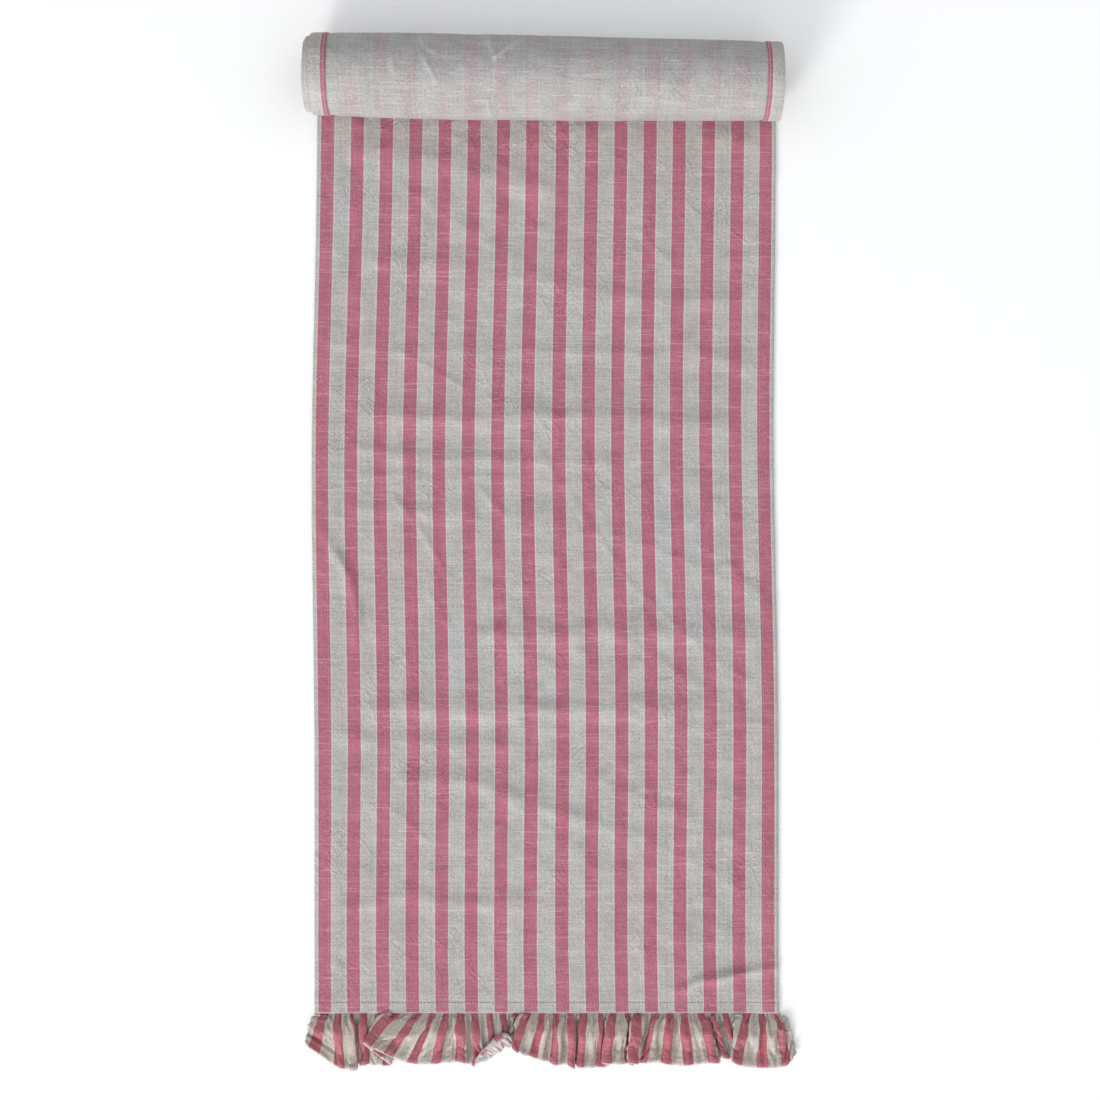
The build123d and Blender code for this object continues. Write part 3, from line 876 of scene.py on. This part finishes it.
def striped_cotton(name, ground, rose, back_ground, back_rose, crease_depth):
    """Slubbed plain weave, printed with rose stripes that show through faintly on the back.

    ground is a cool and a warm colour, and crease_depth is in metres. The nodes' lengths are in
    millimetres of the cloth.
    """
    weft_pitch, warp_pitch = 0.62, 0.55
    half_stripe, stripe_blur = stripe_half / MM, 0.25
    pale, dark, hole_shade_colour = srgb(234, 228, 226), srgb(92, 78, 70), srgb(70, 58, 58)
    n = Nodes(name)
    u, s, side = n.node("SeparateXYZ", n.attribute("cloth")).outputs
    u = n.times(u, 1000.0)
    s = n.times(s, 1000.0)
    on_face = n.minus(1.0, side)
    here = n.place(u, s)

    # The printed stripes, with a small wander and a thin pale line beside each
    wander = n.times(n.swing(n.place(u, n.times(s, 0.05)), 0.6), 0.5)
    across = n.over(n.plus(u, wander), stripe_pitch / MM)
    off_stripe = n.size(n.minus(n.math("FRACT", across), 0.5))
    distance = n.times(off_stripe, stripe_pitch / MM)
    in_stripe = n.ramp(distance, half_stripe - stripe_blur, half_stripe + stripe_blur, 1.0, 0.0)
    beside = n.size(n.minus(distance, half_stripe + 0.55))
    beside = n.ramp(beside, 0.1, 0.55, 1.0, 0.0)

    # Yarns: each weft row and each warp column has its own shade
    weft_row = n.math("FLOOR", n.over(s, weft_pitch))
    warp_column = n.math("FLOOR", n.over(u, warp_pitch))
    weft_shade = n.minus(n.random(weft_row), 0.5)
    warp_shade = n.minus(n.random(n.plus(warp_column, 900.5)), 0.5)
    warp_long = n.swing(n.scaled(u, 1.6, s, 0.03))
    weft_long = n.swing(n.scaled(u, 0.035, s, 1.5))
    grain = n.swing(here, 0.62, 4.0, 0.75)

    # Slubs: short thick places of the pale yarns, longer thick runs of the weft, and dark flecks
    run = n.noise(n.scaled(u, 0.05, weft_row, 17.31), 1.0, 1.0)
    rare = n.random(n.plus(weft_row, 77.25))
    slub = n.ramp(n.minus(run, n.plus(0.64, n.times(rare, 0.20))), 0.0, 0.05)
    thick = n.ramp(n.noise(n.scaled(u, 0.022, weft_row, 5.77)), 0.585, 0.68)
    warp_run = n.noise(n.scaled(warp_column, 13.7, s, 0.05), 1.0, 1.0)
    warp_slub = n.ramp(warp_run, 0.74, 0.80)
    fleck = n.ramp(n.noise(here, 0.9, 1.0), 0.73, 0.80)

    # Broad mottling, partly the cloth's uneven tone and partly painted shade for soft wrinkles, and a
    # warm and a cool cast
    mottle_and_painted_shade = n.swing(here, 0.05, 4.0, 0.6)
    cast = n.noise(n.place(n.plus(u, 500.0), s), 0.009, 3.0)

    # Painted light: paler and warmer by the roll, for light bounced off the roll and to lift its contact
    # shadow;
    # and painted shade, a little darker and cooler where the side hems are turned over, to offset the
    # bright key light there
    painted_bounce_by_roll = n.ramp(s, (flat_length - 60 * MM) / MM, (flat_length - 18 * MM) / MM)
    painted_bounce_by_roll = n.times(painted_bounce_by_roll, on_face)
    turned = n.ramp(n.size(u), half_width / MM + 0.5, half_width / MM + 1.5)
    turned = n.times(turned, n.math("GREATER_THAN", s, 0.0))
    painted_light_by_place = n.minus(painted_bounce_by_roll, turned)
    cast_and_painted_warmth = n.plus(cast, n.times(painted_light_by_place, 0.4))

    # The face, and the back with the stripes showing through in patches and in the weave's gaps
    front = n.mix(in_stripe, n.mix(n.ramp(cast_and_painted_warmth, 0.3, 0.7), *ground), rose)
    weave_gap = n.noise(here, 1.5, 2.0, 0.7)
    through = n.times(in_stripe, n.ramp(weave_gap, 0.35, 0.7, 0.25, 1.0))
    through = n.times(through, n.ramp(n.noise(here, 0.045, 3.0), 0.35, 0.62, 0.15, 1.0))
    colour = n.mix(side, front, n.mix(through, back_ground, back_rose))

    # The shade below carries painted light: the paler band by the roll, the darker turned hems and the
    # mottling's painted shade
    shade = 1.0
    for part, share in (
        (weft_shade, 0.10), (warp_shade, 0.09), (warp_long, 0.20), (weft_long, 0.42),
        (grain, 1.35), (mottle_and_painted_shade, 0.50), (painted_light_by_place, 0.12),
    ):
        shade = n.plus(shade, n.times(part, share))
    colour = n.mix(1.0, colour, n.place(shade, shade, shade), "MULTIPLY")
    colour = n.mix(n.times(slub, n.ramp(side, 0.0, 1.0, 0.24, 0.42)), colour, pale)
    colour = n.mix(n.times(thick, n.ramp(side, 0.0, 1.0, 0.16, 0.24)), colour, pale)
    colour = n.mix(n.times(n.times(beside, 0.28), on_face), colour, pale)

    # Worn paler, and painted highlight: the panel's fold at the front seam and the ruffle's free edge
    # are partly paler unprinted and worn cloth and partly a painted highlight where the folds catch the
    # light; the roll's creases likewise
    free_edge = (ruffle_reach - front_ruffle_start) / MM
    fold = n.ramp(n.size(s), 0.5, 1.3, 1.0, 0.0)
    edge = n.ramp(n.size(n.plus(s, free_edge)), 0.3, 0.9, 1.0, 0.0)
    wear_and_highlight = n.math("MAXIMUM", fold, edge)
    colour = n.mix(n.times(wear_and_highlight, 0.6), colour, srgb(214, 205, 203))
    # Painted highlight along the roll's creases, with some paler wear
    colour = n.mix(n.times(n.attribute("wear_and_highlight", "Fac"), 0.22), colour, pale)
    colour = n.mix(n.times(warp_slub, 0.12), colour, pale)
    colour = n.mix(n.times(fleck, 0.40), colour, dark)

    # The needle's holes along the topstitching: dark dots of painted shade for the shade in their
    # dimples
    pitch = stitch / MM
    hole_u = n.over(n.plus(u, (half_width - side_hem) / MM), pitch)
    hole_u = n.times(n.minus(n.math("FRACT", n.plus(hole_u, 0.5)), 0.5), pitch)
    hole_s = n.minus(s, topstitch_inset / MM)
    hole_shade = n.math("SQRT", n.plus(n.times(hole_u, hole_u), n.times(hole_s, hole_s)))
    hole_shade = n.times(n.ramp(hole_shade, 0.3, 0.75, 0.75, 0.0), on_face)
    n.put(n.shader.inputs["Base Color"], n.mix(hole_shade, colour, hole_shade_colour))

    # Relief: rows and columns of yarn, raised slubs, small crumples, and two sets of slanting creases
    rows = n.math("SINE", n.times(s, 2 * math.pi / weft_pitch))
    columns = n.math("SINE", n.times(u, 2 * math.pi / warp_pitch))
    relief = n.plus(n.times(rows, columns), n.times(slub, 1.6))
    relief = n.plus(relief, n.times(grain, 2.0))
    fine = n.bump(relief, 0.08 * MM, 0.7)
    rumpled = n.bump(n.noise(here, 0.11, 4.0, 0.6), 1.8 * MM, 0.7, fine)
    creased = n.ramp(n.noise(here, 0.014, 2.0), 0.50, 0.62)
    lines = []
    for along, over, size in ((0.8, 0.6, 0.030), (0.75, -0.66, 0.038)):
        x = n.plus(n.times(u, along), n.times(s, over))
        y = n.minus(n.times(s, along), n.times(u, over))
        valley = n.size(n.swing(n.scaled(x, 2.2, y, 0.8), size))
        lines.append(n.ramp(valley, 0.0, 0.035, 1.0, 0.0))
    crease = n.times(n.math("MAXIMUM", *lines), creased)
    n.put(n.shader.inputs["Normal"], n.bump(crease, crease_depth, 0.8, rumpled))
    n.put(n.shader.inputs["Roughness"], n.ramp(grain, -0.3, 0.3, 0.95, 0.82))
    n.shader.inputs["Specular IOR Level"].default_value = 0.18
    n.shader.inputs["Sheen Weight"].default_value = 0.08
    n.shader.inputs["Sheen Roughness"].default_value = 0.6
    return n.material


def sewing_thread(name, colour):
    """Two-ply cotton thread: the plies wind along each stitch."""
    twist = 0.7  # millimetres
    n = Nodes(name)
    along, around, _ = n.node("SeparateXYZ", n.attribute("thread")).outputs
    along = n.times(along, 1000.0)
    wind = n.plus(n.times(along, 2 * math.pi / twist), n.times(around, 4 * math.pi))
    ply = n.math("SINE", wind)
    fibre = n.noise(n.place(along, around), 6.0, 3.0, 0.6)
    # Painted shade: the grooves between the plies are coloured darker
    ply_groove_shade = tuple(0.62 * c for c in colour[:3]) + (1.0,)
    shade = n.plus(n.ramp(ply, -1.0, 0.6, 0.0, 0.8), n.times(fibre, 0.25))
    n.put(n.shader.inputs["Base Color"], n.mix(shade, ply_groove_shade, colour))
    n.put(n.shader.inputs["Normal"], n.bump(ply, 0.06 * MM, 0.8))
    n.put(n.shader.inputs["Roughness"], n.ramp(fibre, 0.3, 0.7, 0.75, 0.55))
    n.shader.inputs["Sheen Weight"].default_value = 0.15
    return n.material


# ---------------------------------------------------------------- stage, lights and camera


def make_floor():
    """A plain pale floor, just below the runner."""
    bpy.ops.mesh.primitive_plane_add(size=6.0, location=(0, 0, -0.4 * MM))
    floor = bpy.context.object
    floor.name = "floor"
    n = Nodes("floor_white")
    n.shader.inputs["Base Color"].default_value = (0.97, 0.97, 0.97, 1)
    n.shader.inputs["Roughness"].default_value = 0.9
    n.shader.inputs["Specular IOR Level"].default_value = 0.1
    floor.data.materials.append(n.material)


def area_light(name, at, towards, size, power, colour):
    """A round lamp that faces a place."""
    data = bpy.data.lights.new(name, "AREA")
    data.shape = "DISK"
    data.size = size
    data.energy = power
    data.color = colour
    lamp = bpy.data.objects.new(name, data)
    lamp.location = at
    lamp.rotation_euler = (Vector(towards) - Vector(at)).to_track_quat("-Z", "Y").to_euler()
    bpy.context.scene.collection.objects.link(lamp)


def make_lights():
    """A low key from beyond the front end's left corner, a faint fill, and a world that is graded.

    The world is brightest towards the front and from above, and dark behind the roll.
    """
    area_light("key", (-2.2, -3.9, 1.9), (0, 0, 0), 1.8, 160, (1.0, 0.985, 0.96))
    area_light("fill", (1.6, 1.2, 2.6), (0, 0, 0), 2.4, 4, (0.95, 0.98, 1.0))
    level, rising_towards = 0.62, (-0.07, -0.34, 0.28)
    world = bpy.data.worlds.new("studio")
    world.use_nodes = True
    background = world.node_tree.nodes["Background"]
    background.inputs["Color"].default_value = (0.96, 0.98, 1.0, 1)
    way = world.node_tree.nodes.new("ShaderNodeTexCoord").outputs["Generated"]
    toward = world.node_tree.nodes.new("ShaderNodeVectorMath")
    toward.operation = "DOT_PRODUCT"
    toward.inputs[1].default_value = rising_towards
    world.node_tree.links.new(way, toward.inputs[0])
    strength = world.node_tree.nodes.new("ShaderNodeMath")
    strength.inputs[1].default_value = level
    world.node_tree.links.new(toward.outputs["Value"], strength.inputs[0])
    world.node_tree.links.new(strength.outputs[0], background.inputs["Strength"])
    bpy.context.scene.world = world
    bpy.context.scene.view_settings.view_transform = "Standard"


def make_camera():
    """Looks straight down from a little right of the middle, and a little nearer to the roll."""
    data = bpy.data.cameras.new("camera")
    data.lens = 60.3
    data.sensor_width = 36
    camera = bpy.data.objects.new("camera", data)
    camera.location = (2.7 * MM, 4.9 * MM, 1.42)
    bpy.context.scene.collection.objects.link(camera)
    bpy.context.scene.camera = camera


# ---------------------------------------------------------------- the scene

random.seed(7)
make_camera()
make_lights()
make_floor()

# The ruffle's cotton looks a little lighter and warmer in the photo, and smoother between its folds: its
# copy of the material has lighter, warmer colours, painted light for the warm light bounced between its
# folds and through the thin cloth
cotton = striped_cotton(
    "striped_cotton",
    ground=(srgb(180, 179, 178), srgb(182, 176, 171)),
    rose=srgb(177, 107, 124),
    back_ground=srgb(172, 170, 168),
    back_rose=srgb(175, 152, 157),
    crease_depth=0.38 * MM,
)
ruffle_cotton_painted_warm_light = striped_cotton(
    "striped_cotton_ruffle_painted_warm_light",
    ground=(srgb(194, 185, 179), srgb(191, 179, 168)),
    rose=srgb(178, 102, 112),
    back_ground=srgb(200, 194, 192),
    back_rose=srgb(196, 168, 174),
    crease_depth=0.15 * MM,
)
thread = sewing_thread("sewing_thread", srgb(206, 190, 192))

panel = make_panel()
panel.data.materials.append(cotton)
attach(panel, "runner")
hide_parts("striped_panel")

ruffle, hem_line, hem_out = make_front_ruffle()
ruffle.data.materials.append(ruffle_cotton_painted_warm_light)
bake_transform(ruffle)
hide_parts("front_ruffle", "front_ruffle_heading")

far_ruffle, far_hem_line, far_hem_out = make_far_ruffle()
far_ruffle.data.materials.append(ruffle_cotton_painted_warm_light)
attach(far_ruffle, "runner")
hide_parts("far_ruffle")


def sew(node, line, out, body="runner", radius=0.2 * MM, sink=0.0):
    """A row of stitches that stands for the thread of that name."""
    row = stitch_row(node + "_stitches", line - out * sink, out, radius)
    row.data.materials.append(thread)
    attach(row, body)
    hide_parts(node)


# The side hems, from the front seam to the far seam
hem_gap = 1.5 * MM  # between each seam and the nearest stitch
laid = np.linspace(hem_gap, flat_length, 420)
wound = flat_length + np.linspace(0, 1, 1300)[1:] * (panel_length - flat_length - hem_gap)
along_hem = np.concatenate([laid, wound])
for side, name in ((-1, "left"), (1, "right")):
    across = np.full(along_hem.shape, side * (half_width - hem_stitch_inset))
    line, out = panel_row(across, along_hem, False)
    sew(name + "_hem_needle_thread", line, out, radius=0.13 * MM, sink=0.08 * MM)
    line, out = panel_row(across, along_hem, True)
    on_table = 1 - smooth(along_hem, flat_length, flat_length + 30 * MM)
    sew(name + "_hem_bobbin_thread", line - out * (0.5 * MM * on_table)[:, None], out, radius=0.26 * MM)

# The rows across the panel at both seams
across = np.linspace(side_hem - half_width, half_width - side_hem, 300)
for end, s in (("front", topstitch_inset), ("far", panel_length - topstitch_inset)):
    line, out = panel_row(across, np.full(across.shape, s), False)
    sew(end + "_topstitch_needle_thread", line, out)
    line, out = panel_row(across, np.full(across.shape, s), True)
    if end == "front":
        line[:, 2] = 0.4 * MM  # under the panel's raised end
    sew(end + "_topstitch_bobbin_thread", line, out)

# The seam and the gathering thread, inside the front seam and on the far ruffle
straight = np.linspace(2 * MM - half_width, half_width - 2 * MM, 300)
for node, inset in (("seam_thread", 1 * MM), ("gathering_thread", 4 * MM)):
    line = np.stack(np.broadcast_arrays(straight, front_seam + inset, 0.42 * MM), -1)
    sew("front_" + node, line, np.tile((0.0, 0.0, 1.0), (len(line), 1)), radius=0.12 * MM)
    line = panel_surface(*np.broadcast_arrays(straight, panel_length + inset, 1.0 * MM))
    inward = np.array([0.0, roll_y, roll_radius]) - line
    inward[:, 0] = 0
    sew("far_" + node, line, unit(inward))

# The ruffles' narrow hems
sew("front_ruffle_hem_thread", hem_line, hem_out, "ruffle_flap", radius=0.15 * MM, sink=0.05 * MM)
sew("far_ruffle_hem_thread", far_hem_line, far_hem_out)
